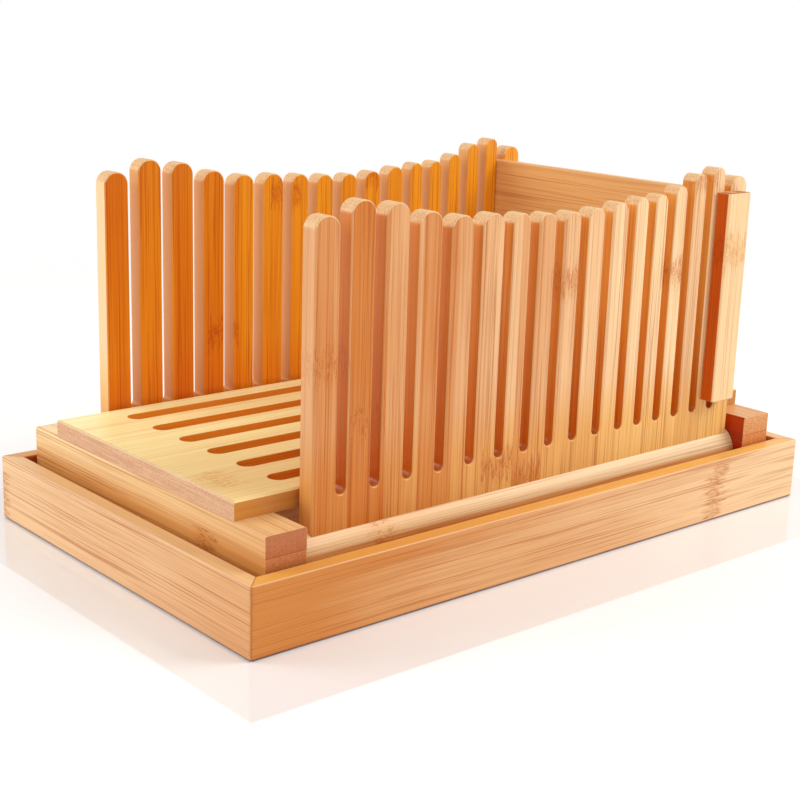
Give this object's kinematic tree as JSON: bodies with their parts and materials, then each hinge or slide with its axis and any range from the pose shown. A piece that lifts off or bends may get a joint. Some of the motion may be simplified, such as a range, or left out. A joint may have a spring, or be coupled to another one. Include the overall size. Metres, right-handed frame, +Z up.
{
  "type": "bread slicer guide",
  "caption": "Bamboo bread slicer guide: a slatted board between two hinged comb fences with a lift-out back stop, standing in a crumb tray.",
  "frame": {"origin": "on the table, under the middle of the crumb tray", "axes": "+X across the loaf to the right seen from the open front end, +Y along the loaf from the open end to the back stop, +Z up"},
  "size_m": [0.208, 0.35, 0.174],
  "materials": {
    "tray_bamboo": "oiled bamboo, satin",
    "floor_bamboo": "oiled bamboo, satin",
    "crossbar_bamboo": "oiled bamboo, satin",
    "board_bamboo": "oiled bamboo, satin",
    "fence_bamboo": "oiled bamboo, satin",
    "rail_bamboo": "oiled bamboo, satin",
    "stop_bamboo": "oiled bamboo, satin",
    "batten_bamboo": "oiled bamboo, satin",
    "screw_steel": "zinc-plated"
  },
  "bodies": {
    "tray": {"tray_front_wall": "tray_bamboo", "tray_rear_wall": "tray_bamboo", "tray_left_wall": "tray_bamboo", "tray_right_wall": "tray_bamboo", "tray_floor": "floor_bamboo"},
    "base": {"front_crossbar": "crossbar_bamboo", "rear_crossbar": "crossbar_bamboo", "slatted_board": "board_bamboo", "board_screws": "screw_steel"},
    "left_guide": {"left_fence": "fence_bamboo", "left_hinge_rail": "rail_bamboo", "left_fence_screws": "screw_steel", "left_pivot_pins": "screw_steel"},
    "right_guide": {"right_fence": "fence_bamboo", "right_hinge_rail": "rail_bamboo", "right_fence_screws": "screw_steel", "right_pivot_pins": "screw_steel"},
    "back_stop": {"back_board": "stop_bamboo", "left_batten": "batten_bamboo", "right_batten": "batten_bamboo"}
  },
  "joints": [
    {"name": "base_lift", "type": "slide", "parent": "tray", "child": "base", "axis": [0, 0, 1], "range_m": [0, 0.06]},
    {"name": "left_fence_hinge", "type": "hinge", "parent": "base", "child": "left_guide", "pos_m": [-0.0763, 0, 0.0268], "axis": [0, 1, 0], "range_deg": [0, 6.5]},
    {"name": "right_fence_hinge", "type": "hinge", "parent": "base", "child": "right_guide", "pos_m": [0.0763, 0, 0.0268], "axis": [0, -1, 0], "range_deg": [0, 6.5]},
    {"name": "back_stop_lift", "type": "slide", "parent": "base", "child": "back_stop", "axis": [0, 0, 1], "range_m": [0, 0.125]}
  ]
}
